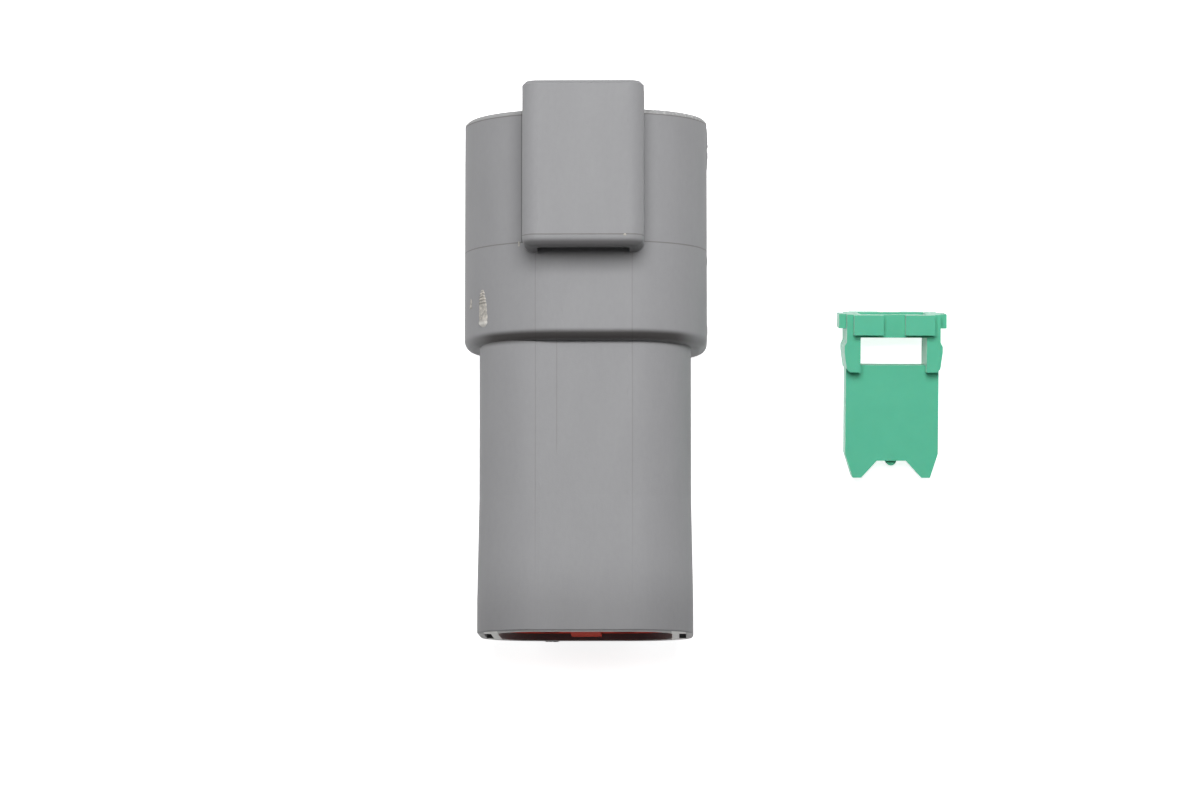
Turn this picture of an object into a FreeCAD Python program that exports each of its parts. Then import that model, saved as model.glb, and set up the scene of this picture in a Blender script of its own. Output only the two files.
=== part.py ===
import FreeCAD, Part
import math
import os

import Sketcher

# Sealed four-way pin connector, lying on a table with its latch bridge up. The mating end
# points along +Y, +Z is up, and the origin is on the table below the mould parting plane.
# All lengths are in millimetres.

SIZES = (
    # Places of the four contacts. The core, the shroud and the rear body are built around them
    ("contact_pitch_across", 6.6),
    ("contact_pitch_up", 8.8),
    # Core inside the shroud, through which the contacts stand
    ("contact_margin_side", 4.0),
    ("contact_margin_up", 2.05),
    ("core_corner", 3.0),
    ("core_setback", 8.0),
    # Shroud: the deep oval mouth that takes the mating plug around the core
    ("plug_gap_side", 1.8),
    ("plug_gap_up", 1.25),
    ("shroud_wall", 1.4),
    ("shroud_flat", 4.0),
    ("keyed_flat", 0.8),
    ("shroud_front", 11.4),
    ("shroud_back", 8.42),
    ("shroud_floor", 1.5),
    ("rim_bevel", 0.22),
    ("shoulder_round", 0.86),
    ("key_rib_width", 1.2),
    ("key_rib_height", 0.55),
    ("key_rib_spacing", 5.6),
    # Rear body: the block behind the shroud that holds the contacts and the wire seal
    ("shoulder_step_side", 1.4),
    ("shoulder_step_up", 1.1),
    ("body_flat", 5.2),
    ("body_length", 24.68),
    ("flare_setback", 2.6),
    ("flare_length", 9.0),
    ("flare_growth", 0.17),
    ("body_rear_bevel", 0.15),
    # Latch bridge over the shroud
    ("bridge_width", 10.3),
    ("bridge_rise", 4.5),
    ("bridge_reach", 1.75),
    ("bridge_back", 0.95),
    ("bridge_leg", 1.25),
    ("bridge_plate", 1.4),
    ("bridge_round", 1.35),
    ("bridge_rear_round", 0.9),
    ("bridge_front_bevel", 0.3),
    ("bridge_root", 1.2),
    ("channel_corner", 0.5),
    # Contact: a turned pin with a crimp barrel
    ("pin_setback", 1.5),
    ("pin_diameter", 1.57),
    ("pin_length", 9.0),
    ("pin_tip_length", 0.75),
    ("pin_tip_diameter", 0.7),
    ("pin_root_diameter", 1.95),
    ("pin_root_stand", 0.1),
    ("collar_diameter", 2.5),
    ("collar_length", 1.6),
    ("neck_diameter", 1.9),
    ("neck_length", 2.0),
    ("flange_diameter", 2.95),
    ("flange_length", 1.0),
    ("barrel_diameter", 2.6),
    ("barrel_length", 7.9),
    ("wire_bore", 1.75),
    ("wire_bore_depth", 6.3),
    # Clearances between the contacts and their cavities
    ("pin_clearance", 0.08),
    ("collar_clearance", 0.1),
    ("flange_clearance", 0.13),
    ("lock_clearance", 0.1),
    # Locking fingers that catch behind the contacts' collars
    ("finger_width", 1.7),
    ("finger_gap", 0.4),
    ("finger_thickness", 0.9),
    ("finger_length", 6.3),
    ("finger_hook", 0.55),
    ("finger_floor", 1.25),
    ("slot_clearance", 0.15),
    ("slot_end_gap", 0.5),
    # Wire seal and the pocket that it sits in
    ("body_wall_side", 1.65),
    ("body_wall_up", 1.2),
    ("seal_pocket_flat", 6.4),
    ("seal_pocket_depth", 8.9),
    ("seal_recess", 0.6),
    ("seal_fit", 0.02),
    ("seal_groove", 0.4),
    ("seal_rib_length", 1.1),
    ("seal_ribs", 3),
    ("seal_hole", 1.8),
    ("seal_land_width", 2.6),
    ("seal_land_margin", 2.1),
    ("seal_land_rise", 0.4),
    ("side_core_width", 0.6),
    ("side_core_height", 7.0),
    ("side_core_depth", 3.0),
    ("side_core_wall", 0.6),
    # Rail under the rear body, for a panel clip
    ("rail_foot_width", 6.4),
    ("rail_neck_width", 4.2),
    ("rail_foot_thickness", 0.55),
    ("rail_length", 13.2),
    ("rail_overlap", 0.4),
    # Wedge lock: a hollow head with a flat tongue, lying beside the housing
    ("wedge_x", 26.75),
    ("wedge_y", -4.47),
    ("wedge_roll", 2.5),
    ("head_width", 8.2),
    ("head_height", 5.0),
    ("head_depth", 2.0),
    ("head_opening_width", 5.8),
    ("head_opening_height", 3.6),
    ("ear_width", 9.45),
    ("ear_height", 2.8),
    ("ear_depth", 1.25),
    ("block_width", 2.57),
    ("block_spacing", 4.5),
    ("block_height", 6.9),
    ("block_depth", 1.75),
    ("window_length", 2.5),
    ("side_rail_end", 5.05),
    ("side_rail_bevel", 0.3),
    ("nib_reach", 0.2),
    ("nib_front", 2.4),
    ("nib_slope", 0.4),
    ("nib_flat", 0.5),
    ("tongue_width", 8.15),
    ("tongue_thickness", 2.4),
    ("wedge_length", 14.4),
    ("tip_taper_length", 2.1),
    ("tip_width", 0.75),
    ("tip_spread", 6.8),
    ("notch_depth", 1.5),
    ("notch_floor_width", 2.57),
    ("nub_diameter", 0.95),
)

# A little extra length, so that a cut runs past the face that it opens
PAST = 0.5


class Size:
    """A length known both as a number and as the sheet expression that gives it."""

    def __init__(self, text, number):
        self.text = text
        self.number = number

    @staticmethod
    def of(value):
        """Return value as a Size."""
        if isinstance(value, Size):
            return value
        return Size(repr(float(value)), float(value))

    def __add__(self, other):
        other = Size.of(other)
        return Size(f"({self.text} + {other.text})", self.number + other.number)

    def __sub__(self, other):
        other = Size.of(other)
        return Size(f"({self.text} - {other.text})", self.number - other.number)

    def __mul__(self, other):
        other = Size.of(other)
        return Size(f"({self.text} * {other.text})", self.number * other.number)

    def __truediv__(self, other):
        other = Size.of(other)
        return Size(f"({self.text} / {other.text})", self.number / other.number)

    def __neg__(self):
        return Size(f"(0 - {self.text})", -self.number)


def sine(angle):
    """Return the sine of an angle in degrees."""
    return Size(f"sin({angle.text})", math.sin(math.radians(angle.number)))


def cosine(angle):
    """Return the cosine of an angle in degrees."""
    return Size(f"cos({angle.text})", math.cos(math.radians(angle.number)))


def slope_angle(rise, run):
    """Return the angle in degrees of a slope."""
    number = math.degrees(math.atan(rise.number / run.number))
    return Size(f"atan({rise.text} / {run.text})", number)


os.makedirs("parts", exist_ok=True)
doc = FreeCAD.newDocument("SealedConnector")
sheet = doc.addObject("Spreadsheet::Sheet", "Sizes")


def fill_sheet():
    """Write every driving size into the sheet and return them by name."""
    sizes = {}
    for row, (alias, number) in enumerate(SIZES, start=1):
        sheet.set(f"A{row}", alias)
        sheet.set(f"B{row}", str(number))
        sheet.setAlias(f"B{row}", alias)
        sizes[alias] = Size(f"Sizes.{alias}", float(number))
    doc.recompute()
    return sizes


S = fill_sheet()

# The housing's cross-section grows outward from the contacts, one clearance or wall at a time
CORE_WIDTH = S["contact_pitch_across"] + S["contact_margin_side"] * 2
CORE_HEIGHT = S["contact_pitch_up"] + S["contact_margin_up"] * 2
MOUTH_WIDTH = CORE_WIDTH + S["plug_gap_side"] * 2
MOUTH_HEIGHT = CORE_HEIGHT + S["plug_gap_up"] * 2
SHROUD_WIDTH = MOUTH_WIDTH + S["shroud_wall"] * 2
SHROUD_HEIGHT = MOUTH_HEIGHT + S["shroud_wall"] * 2
SHROUD_CORNER = (SHROUD_HEIGHT - S["shroud_flat"]) / 2
KEYED_CORNER = (SHROUD_HEIGHT - S["keyed_flat"]) / 2
BODY_WIDTH = SHROUD_WIDTH - S["shoulder_step_side"] * 2
BODY_HEIGHT = SHROUD_HEIGHT - S["shoulder_step_up"] * 2
BODY_CORNER = (BODY_HEIGHT - S["body_flat"]) / 2
SEAL_WIDTH = BODY_WIDTH - S["body_wall_side"] * 2
SEAL_HEIGHT = BODY_HEIGHT - S["body_wall_up"] * 2
SEAL_CORNER = (SEAL_HEIGHT - S["seal_pocket_flat"]) / 2

# Places along Y that several pieces share
RIM_Y = S["shroud_front"]
SHOULDER_Y = -S["shroud_back"]
FLOOR_Y = SHOULDER_Y + S["shroud_floor"]
REAR_Y = SHOULDER_Y - S["body_length"]
CORE_Y = RIM_Y - S["core_setback"]
SEAT_Y = REAR_Y + S["seal_pocket_depth"]

# Places along Z
AXIS_Z = SHROUD_HEIGHT / 2
ROOF_Z = SHROUD_HEIGHT
BODY_FLOOR_Z = AXIS_Z - BODY_HEIGHT / 2

# Places along a seated contact
PIN_TIP_Y = RIM_Y - S["pin_setback"]
PIN_ROOT_Y = CORE_Y + S["pin_root_stand"]
COLLAR_FRONT_Y = PIN_TIP_Y - S["pin_length"]
COLLAR_BACK_Y = COLLAR_FRONT_Y - S["collar_length"]
FLANGE_FRONT_Y = COLLAR_BACK_Y - S["neck_length"]
FLANGE_BACK_Y = FLANGE_FRONT_Y - S["flange_length"]
BARREL_BACK_Y = FLANGE_BACK_Y - S["barrel_length"]

# The four contact places, as signs of X and of Z from the axis
CONTACT_SIDES = ((-1, 1), (1, 1), (-1, -1), (1, -1))


def contact_x(side):
    """Return the X of a contact on the given side."""
    return S["contact_pitch_across"] / 2 * side


def contact_z(row):
    """Return the Z of a contact in the given row."""
    return AXIS_Z + S["contact_pitch_up"] / 2 * row


def new_body(label):
    """Add an empty body with the given label."""
    body = doc.addObject("PartDesign::Body", label)
    body.Label = label
    return body


def origin_plane(body, role):
    """Return one of the body's own origin planes."""
    for feature in body.Origin.OriginFeatures:
        if feature.Role == role:
            return feature
    raise ValueError(role)


def new_sketch(body, name, role, offset):
    """Add a sketch on an origin plane, moved along the plane's normal."""
    sketch = body.newObject("Sketcher::SketchObject", name)
    sketch.AttachmentSupport = [(origin_plane(body, role), "")]
    sketch.MapMode = "FlatFace"
    sketch.setExpression("AttachmentOffset.Base.z", offset.text)
    return sketch


def section_at(body, name, y):
    """Add a cross-section sketch at the given Y. Its axes are world X and Z."""
    return new_sketch(body, name, "XZ_Plane", -y)


def side_view_at(body, name, x):
    """Add a side-view sketch at the given X. Its axes are world Y and Z."""
    return new_sketch(body, name, "YZ_Plane", x)


def plan_at(body, name, z):
    """Add a plan sketch at the given Z. Its axes are world X and Y."""
    return new_sketch(body, name, "XY_Plane", z)


def bind(sketch, kind, first, second, value):
    """Add a measured constraint and tie it to the sheet."""
    if value.number == 0 and kind == "DistanceX":
        sketch.addConstraint(Sketcher.Constraint("PointOnObject", *second, -2))
        return
    if value.number == 0 and kind == "DistanceY":
        sketch.addConstraint(Sketcher.Constraint("PointOnObject", *second, -1))
        return
    index = sketch.addConstraint(Sketcher.Constraint(kind, *first, *second, value.number))
    sketch.setExpression(f"Constraints[{index}]", value.text)


ORIGIN_POINT = (-1, 1)


def add_outline(sketch, corners):
    """Draw a closed outline of level and upright edges, with any corner rounded.

    Each corner is (u, v, radius), in order, with None for a sharp corner.
    """
    count = len(corners)
    places = [FreeCAD.Vector(u.number, v.number, 0) for u, v, _ in corners]
    starts = []
    ends = []
    for i, (_, _, radius) in enumerate(corners):
        reach = radius.number if radius else 0.0
        before = (places[i - 1] - places[i]).normalize()
        after = (places[(i + 1) % count] - places[i]).normalize()
        ends.append(places[i] + before * reach)
        starts.append(places[i] + after * reach)
    lines = []
    for i in range(count):
        line = Part.LineSegment(starts[i], ends[(i + 1) % count])
        lines.append(sketch.addGeometry(line, False))
    for i, (_, _, radius) in enumerate(corners):
        incoming = lines[i - 1]
        outgoing = lines[i]
        if radius is None:
            sketch.addConstraint(Sketcher.Constraint("Coincident", incoming, 2, outgoing, 1))
        else:
            add_corner_arc(sketch, ends[i], starts[i], places[i], incoming, outgoing, radius)
    for i, (u, v, _) in enumerate(corners):
        following = corners[(i + 1) % count]
        level = abs(following[1].number - v.number) < 1e-9
        if level:
            sketch.addConstraint(Sketcher.Constraint("Horizontal", lines[i]))
            bind(sketch, "DistanceY", ORIGIN_POINT, (lines[i], 1), v)
        else:
            sketch.addConstraint(Sketcher.Constraint("Vertical", lines[i]))
            bind(sketch, "DistanceX", ORIGIN_POINT, (lines[i], 1), u)


def add_corner_arc(sketch, start, end, corner, incoming, outgoing, radius):
    """Round one corner of an outline with an arc tangent to both edges."""
    centre = start + end - corner
    turn = (corner - start).cross(end - corner).z
    if turn > 0:
        first, last = start, end
    else:
        first, last = end, start
    first_angle = math.atan2(first.y - centre.y, first.x - centre.x)
    last_angle = math.atan2(last.y - centre.y, last.x - centre.x)
    circle = Part.Circle(centre, FreeCAD.Vector(0, 0, 1), radius.number)
    arc = sketch.addGeometry(Part.ArcOfCircle(circle, first_angle, last_angle), False)
    near, far = (1, 2) if turn > 0 else (2, 1)
    sketch.addConstraint(Sketcher.Constraint("Tangent", incoming, 2, arc, near))
    sketch.addConstraint(Sketcher.Constraint("Tangent", arc, far, outgoing, 1))
    index = sketch.addConstraint(Sketcher.Constraint("Radius", arc, radius.number))
    sketch.setExpression(f"Constraints[{index}]", radius.text)


def add_rectangle(sketch, width, height, centre_u, centre_v, radius=None, left_radius=None):
    """Draw a rectangle. left_radius is that of its two left corners, if it differs."""
    left = centre_u - width / 2
    right = centre_u + width / 2
    low = centre_v - height / 2
    high = centre_v + height / 2
    corners = (
        (left, low, left_radius or radius),
        (right, low, radius),
        (right, high, radius),
        (left, high, left_radius or radius),
    )
    add_outline(sketch, corners)


def add_polygon(sketch, points):
    """Draw a closed polygon through points given as pairs of sizes."""
    places = [FreeCAD.Vector(u.number, v.number, 0) for u, v in points]
    count = len(points)
    lines = []
    for i in range(count):
        line = Part.LineSegment(places[i], places[(i + 1) % count])
        lines.append(sketch.addGeometry(line, False))
    for i, (u, v) in enumerate(points):
        sketch.addConstraint(Sketcher.Constraint("Coincident", lines[i - 1], 2, lines[i], 1))
        bind(sketch, "DistanceX", ORIGIN_POINT, (lines[i], 1), u)
        bind(sketch, "DistanceY", ORIGIN_POINT, (lines[i], 1), v)


def add_circle(sketch, diameter, u, v):
    """Draw a circle about a point."""
    centre = FreeCAD.Vector(u.number, v.number, 0)
    circle = Part.Circle(centre, FreeCAD.Vector(0, 0, 1), diameter.number / 2)
    index = sketch.addGeometry(circle, False)
    bind(sketch, "DistanceX", ORIGIN_POINT, (index, 3), u)
    bind(sketch, "DistanceY", ORIGIN_POINT, (index, 3), v)
    constraint = sketch.addConstraint(Sketcher.Constraint("Diameter", index, diameter.number))
    sketch.setExpression(f"Constraints[{constraint}]", diameter.text)


def volume_of(body):
    """Return the body's volume so far."""
    if body.Tip is None or body.Shape.isNull():
        return 0.0
    return body.Shape.Volume


def settle(body, feature, before, adds):
    """Recompute, and stop if a feature failed or worked the wrong way."""
    doc.recompute()
    if "Invalid" in feature.State or "Error" in feature.State:
        raise RuntimeError(f"{feature.Name} failed")
    change = body.Shape.Volume - before
    if (change > 0) != adds:
        raise RuntimeError(f"{feature.Name} changed the volume by {change:.4f}")
    return feature


def pad(body, sketch, length, both_ways=False):
    """Add material along the sketch's normal. A cross-section's normal is -Y."""
    before = volume_of(body)
    feature = body.newObject("PartDesign::Pad", sketch.Name + "Pad")
    feature.Profile = sketch
    feature.setExpression("Length", length.text)
    feature.Midplane = both_ways
    sketch.Visibility = False
    return settle(body, feature, before, True)


def pocket(body, sketch, length, rearward=True):
    """Cut from a cross-section toward -Y, or toward +Y if rearward is False."""
    before = volume_of(body)
    feature = body.newObject("PartDesign::Pocket", sketch.Name + "Cut")
    feature.Profile = sketch
    feature.setExpression("Length", length.text)
    feature.Reversed = rearward
    sketch.Visibility = False
    return settle(body, feature, before, False)


def loft(body, first, last):
    """Add a straight loft between two sketches."""
    before = volume_of(body)
    feature = body.newObject("PartDesign::AdditiveLoft", first.Name + "Loft")
    feature.Profile = first
    feature.Sections = [last]
    feature.Ruled = True
    first.Visibility = False
    last.Visibility = False
    return settle(body, feature, before, True)


def revolve(body, sketch):
    """Turn a side-view sketch about its level axis, which lies along Y."""
    before = volume_of(body)
    feature = body.newObject("PartDesign::Revolution", sketch.Name + "Turn")
    feature.Profile = sketch
    feature.ReferenceAxis = (sketch, ["H_Axis"])
    feature.Angle = 360
    sketch.Visibility = False
    return settle(body, feature, before, True)


def edges_where(shape, test):
    """Name the edges of a shape whose box passes a test."""
    names = []
    for index, edge in enumerate(shape.Edges, start=1):
        if test(edge.BoundBox):
            names.append(f"Edge{index}")
    return names


def treat_edges(body, name, kind, size, test):
    """Round or bevel the edges whose box passes a test."""
    base = body.Tip
    before = volume_of(body)
    names = edges_where(base.Shape, test)
    if not names:
        raise RuntimeError(f"{name} finds no edge")
    feature = body.newObject(f"PartDesign::{kind}", name)
    feature.Base = (base, names)
    feature.setExpression("Radius" if kind == "Fillet" else "Size", size.text)
    doc.recompute()
    if "Invalid" in feature.State or abs(body.Shape.Volume - before) < 1e-9:
        raise RuntimeError(f"{name} failed")
    return feature


def round_edges(body, name, radius, test):
    """Round the edges whose box passes a test."""
    return treat_edges(body, name, "Fillet", radius, test)


def bevel_edges(body, name, size, test):
    """Bevel the edges whose box passes a test."""
    return treat_edges(body, name, "Chamfer", size, test)


def on_plane_y(box, y):
    """Tell whether a box lies in the plane of constant Y."""
    return abs(box.YMin - y.number) < 1e-4 and abs(box.YMax - y.number) < 1e-4


# Housing

def add_shroud(body):
    """Add the shroud as a hollow mouth with a rounded shoulder and rim."""
    outline = section_at(body, "ShroudOutline", RIM_Y)
    middle = Size.of(0)
    add_rectangle(outline, SHROUD_WIDTH, SHROUD_HEIGHT, middle, AXIS_Z, SHROUD_CORNER, KEYED_CORNER)
    pad(body, outline, RIM_Y - SHOULDER_Y)
    round_edges(body, "ShoulderRound", S["shoulder_round"], lambda box: on_plane_y(box, SHOULDER_Y))
    wall = S["shroud_wall"]
    mouth = section_at(body, "ShroudMouth", RIM_Y)
    add_rectangle(
        mouth, MOUTH_WIDTH, MOUTH_HEIGHT, middle, AXIS_Z,
        SHROUD_CORNER - wall, KEYED_CORNER - wall,
    )
    pocket(body, mouth, RIM_Y - FLOOR_Y)
    bevel_edges(body, "RimBevel", S["rim_bevel"], lambda box: on_plane_y(box, RIM_Y))


def add_key_ribs(body):
    """Add the two ribs on the shroud's lower wall that guide the plug."""
    for side in (-1, 1):
        name = "KeyRibLeft" if side < 0 else "KeyRibRight"
        rib = section_at(body, name, RIM_Y - S["core_setback"] / 2)
        height = S["key_rib_height"] + S["shroud_wall"] / 2
        centre_z = S["shroud_wall"] / 2 + height / 2
        centre_x = S["key_rib_spacing"] / 2 * side
        add_rectangle(rib, S["key_rib_width"], height, centre_x, centre_z)
        pad(body, rib, RIM_Y - S["core_setback"] / 2 - FLOOR_Y)


def add_rear_body(body):
    """Add the rear body, which widens a little toward its rear end."""
    middle = Size.of(0)
    flare_back_y = REAR_Y + S["flare_setback"]
    flare_front_y = flare_back_y + S["flare_length"]
    wide_width = BODY_WIDTH + S["flare_growth"] * 2
    wide_height = BODY_HEIGHT + S["flare_growth"] * 2
    front = section_at(body, "BodyFront", FLOOR_Y)
    add_rectangle(front, BODY_WIDTH, BODY_HEIGHT, middle, AXIS_Z, BODY_CORNER)
    pad(body, front, FLOOR_Y - flare_front_y)
    narrow = section_at(body, "FlareFront", flare_front_y)
    add_rectangle(narrow, BODY_WIDTH, BODY_HEIGHT, middle, AXIS_Z, BODY_CORNER)
    wide = section_at(body, "FlareBack", flare_back_y)
    add_rectangle(wide, wide_width, wide_height, middle, AXIS_Z, BODY_CORNER)
    loft(body, narrow, wide)
    end = section_at(body, "BodyBack", flare_back_y)
    add_rectangle(end, wide_width, wide_height, middle, AXIS_Z, BODY_CORNER)
    pad(body, end, flare_back_y - REAR_Y)
    bevel_edges(body, "BodyRearBevel", S["body_rear_bevel"], lambda box: on_plane_y(box, REAR_Y))


def add_seal_pocket(body):
    """Cut the pocket for the wire seal and the slim cored pockets beside it."""
    opening = section_at(body, "SealPocket", REAR_Y - PAST)
    add_rectangle(opening, SEAL_WIDTH, SEAL_HEIGHT, Size.of(0), AXIS_Z, SEAL_CORNER)
    pocket(body, opening, S["seal_pocket_depth"] + PAST, rearward=False)
    for side in (-1, 1):
        name = "SideCoreLeft" if side < 0 else "SideCoreRight"
        core = section_at(body, name, REAR_Y - PAST)
        centre_x = (SEAL_WIDTH / 2 + S["side_core_wall"] + S["side_core_width"] / 2) * side
        add_rectangle(core, S["side_core_width"], S["side_core_height"], centre_x, AXIS_Z)
        pocket(body, core, S["side_core_depth"] + PAST, rearward=False)


def add_core(body):
    """Add the core that stands inside the shroud."""
    outline = section_at(body, "CoreOutline", CORE_Y)
    add_rectangle(outline, CORE_WIDTH, CORE_HEIGHT, Size.of(0), AXIS_Z, S["core_corner"])
    pad(body, outline, CORE_Y - FLOOR_Y + S["shroud_floor"] / 2)


def add_contact_cavities(body):
    """Cut four stepped bores: for the pin, the collar and the flange with its barrel."""
    stop_y = COLLAR_FRONT_Y + S["lock_clearance"] / 2
    steps = (
        ("BarrelBores", FLANGE_FRONT_Y, SEAT_Y, S["flange_diameter"] + S["flange_clearance"] * 2),
        ("CollarBores", stop_y, FLANGE_FRONT_Y, S["collar_diameter"] + S["collar_clearance"] * 2),
        ("PinBores", CORE_Y, stop_y, S["pin_root_diameter"] + S["pin_clearance"] * 2),
    )
    for name, front, back, diameter in steps:
        bores = section_at(body, name, front)
        for side, row in CONTACT_SIDES:
            add_circle(bores, diameter, contact_x(side), contact_z(row))
        pocket(body, bores, front - back + S["lock_clearance"])


def add_wedge_slot(body):
    """Cut the slot that the wedge lock's tongue slides into."""
    slot = section_at(body, "WedgeSlot", CORE_Y)
    gap = S["slot_clearance"] * 2
    add_rectangle(slot, S["tongue_width"] + gap, S["tongue_thickness"] + gap, Size.of(0), AXIS_Z)
    tongue_length = S["wedge_length"] - S["head_depth"]
    pocket(body, slot, tongue_length + S["slot_end_gap"])


def add_locking_fingers(body):
    """Cut a window beside each cavity and leave a hooked finger standing in it."""
    slot_half = S["tongue_thickness"] / 2 + S["slot_clearance"]
    finger_top = slot_half + S["finger_thickness"]
    window_width = S["finger_width"] + S["finger_gap"] * 2
    low_window_top = slot_half + S["finger_floor"]
    neck_edge = S["contact_pitch_up"] / 2 - S["neck_diameter"] / 2
    hook_tip = neck_edge - S["lock_clearance"]
    high_window_top = neck_edge + S["neck_diameter"] / 4
    hook_front_y = COLLAR_BACK_Y - S["lock_clearance"]
    hook_back_y = FLANGE_FRONT_Y + S["lock_clearance"] * 2
    root_y = COLLAR_BACK_Y - S["finger_length"]
    upper_front_y = COLLAR_FRONT_Y - S["lock_clearance"]
    for number, (side, row) in enumerate(CONTACT_SIDES, start=1):
        x = contact_x(side)
        windows = (
            (f"LowWindow{number}", CORE_Y, slot_half / 2, low_window_top),
            (f"HighWindow{number}", upper_front_y, low_window_top - S["lock_clearance"], high_window_top),
        )
        for name, front, inner, outer in windows:
            window = section_at(body, name, front)
            centre = AXIS_Z + (inner + outer) / 2 * row
            add_rectangle(window, window_width, outer - inner, x, centre)
            pocket(body, window, front - root_y)
        finger = side_view_at(body, f"Finger{number}", x)
        points = (
            (root_y - S["finger_hook"], slot_half),
            (hook_front_y, slot_half),
            (hook_front_y, hook_tip),
            (hook_front_y - S["finger_hook"], hook_tip),
            (hook_back_y, finger_top),
            (root_y - S["finger_hook"], finger_top),
        )
        add_polygon(finger, [(y, AXIS_Z + z * row) for y, z in points])
        pad(body, finger, S["finger_width"], both_ways=True)


def add_latch_bridge(body):
    """Add the bridge that the plug's latch snaps under, open from front to rear."""
    front_y = RIM_Y + S["bridge_reach"]
    back_y = -S["bridge_back"]
    top = ROOF_Z + S["bridge_rise"]
    foot = ROOF_Z - S["bridge_root"]
    outside = S["bridge_width"] / 2
    inside = outside - S["bridge_leg"]
    ceiling = top - S["bridge_plate"]
    arch = section_at(body, "BridgeArch", front_y)
    corners = (
        (outside, foot, None),
        (outside, top, S["bridge_round"]),
        (-outside, top, S["bridge_round"]),
        (-outside, foot, None),
        (-inside, foot, None),
        (-inside, ceiling, S["channel_corner"]),
        (inside, ceiling, S["channel_corner"]),
        (inside, foot, None),
    )
    add_outline(arch, corners)
    pad(body, arch, front_y - back_y)

    def at_top(box, y):
        return on_plane_y(box, y) and box.ZMax > top.number - 1e-4

    round_edges(body, "BridgeRearRound", S["bridge_rear_round"], lambda box: at_top(box, back_y))
    bevel_edges(body, "BridgeFrontBevel", S["bridge_front_bevel"], lambda box: at_top(box, front_y))


def add_clip_rail(body):
    """Add the T-shaped rail for a panel clip, level with the shroud's underside."""
    front_y = SHOULDER_Y + S["shroud_floor"] / 2
    length = S["rail_length"] + S["shroud_floor"] / 2
    foot_half = S["rail_foot_width"] / 2
    neck_half = S["rail_neck_width"] / 2
    foot_top = S["rail_foot_thickness"]
    neck_top = BODY_FLOOR_Z + S["rail_overlap"]
    rail = section_at(body, "ClipRail", front_y)
    corners = (
        (-foot_half, Size.of(0), None),
        (foot_half, Size.of(0), None),
        (foot_half, foot_top, None),
        (neck_half, foot_top, None),
        (neck_half, neck_top, None),
        (-neck_half, neck_top, None),
        (-neck_half, foot_top, None),
        (-foot_half, foot_top, None),
    )
    add_outline(rail, corners)
    pad(body, rail, length)


def make_housing():
    """Make the moulded housing."""
    body = new_body("housing")
    add_shroud(body)
    add_key_ribs(body)
    add_rear_body(body)
    add_seal_pocket(body)
    add_core(body)
    add_contact_cavities(body)
    add_wedge_slot(body)
    add_locking_fingers(body)
    add_clip_rail(body)
    add_latch_bridge(body)
    return body


# Wire seal

def make_wire_seal():
    """Make the ribbed silicone block that seals around the four wires."""
    body = new_body("rear_wire_seal")
    back_y = REAR_Y + S["seal_recess"]
    length = SEAT_Y - back_y
    groove = S["seal_groove"]
    fit = S["seal_fit"]
    middle = Size.of(0)
    inner = section_at(body, "SealInner", SEAT_Y)
    add_rectangle(
        inner, SEAL_WIDTH - groove * 2, SEAL_HEIGHT - groove * 2, middle, AXIS_Z,
        SEAL_CORNER - groove,
    )
    pad(body, inner, length)
    ribs = int(S["seal_ribs"].number)
    spacing = (length - S["seal_rib_length"]) / (ribs - 1)
    for index in range(ribs):
        rib = section_at(body, f"SealRib{index + 1}", SEAT_Y - spacing * index)
        add_rectangle(
            rib, SEAL_WIDTH - fit * 2, SEAL_HEIGHT - fit * 2, middle, AXIS_Z, SEAL_CORNER - fit,
        )
        pad(body, rib, S["seal_rib_length"])
    land = section_at(body, "SealLand", back_y)
    land_height = SEAL_HEIGHT - S["seal_land_margin"] * 2
    add_rectangle(land, S["seal_land_width"], land_height, middle, AXIS_Z)
    pad(body, land, S["seal_land_rise"])
    holes = section_at(body, "SealHoles", SEAT_Y + PAST)
    for side, row in CONTACT_SIDES:
        add_circle(holes, S["seal_hole"], contact_x(side), contact_z(row))
    pocket(body, holes, length + PAST * 2)
    return body


# Contacts

def make_contact(number, side, row):
    """Make one turned contact, seated with its flange against the cavity's step."""
    body = new_body(f"contact_pin_{number}")
    axis = Size.of(0)
    pin = S["pin_diameter"] / 2
    tip = S["pin_tip_diameter"] / 2
    root = S["pin_root_diameter"] / 2
    collar = S["collar_diameter"] / 2
    neck = S["neck_diameter"] / 2
    flange = S["flange_diameter"] / 2
    barrel = S["barrel_diameter"] / 2
    bore = S["wire_bore"] / 2
    bore_front_y = BARREL_BACK_Y + S["wire_bore_depth"]
    profile = side_view_at(body, f"ContactProfile{number}", axis)
    points = (
        (PIN_TIP_Y, axis),
        (PIN_TIP_Y, tip),
        (PIN_TIP_Y - S["pin_tip_length"], pin),
        (PIN_ROOT_Y, pin),
        (PIN_ROOT_Y, root),
        (COLLAR_FRONT_Y, root),
        (COLLAR_FRONT_Y, collar),
        (COLLAR_BACK_Y, collar),
        (COLLAR_BACK_Y, neck),
        (FLANGE_FRONT_Y, neck),
        (FLANGE_FRONT_Y, flange),
        (FLANGE_BACK_Y, flange),
        (FLANGE_BACK_Y, barrel),
        (BARREL_BACK_Y, barrel),
        (BARREL_BACK_Y, bore),
        (bore_front_y, bore),
        (bore_front_y, axis),
    )
    add_polygon(profile, points)
    revolve(body, profile)
    body.setExpression("Placement.Base.x", contact_x(side).text)
    body.setExpression("Placement.Base.z", contact_z(row).text)
    return body


# Wedge lock

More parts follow.
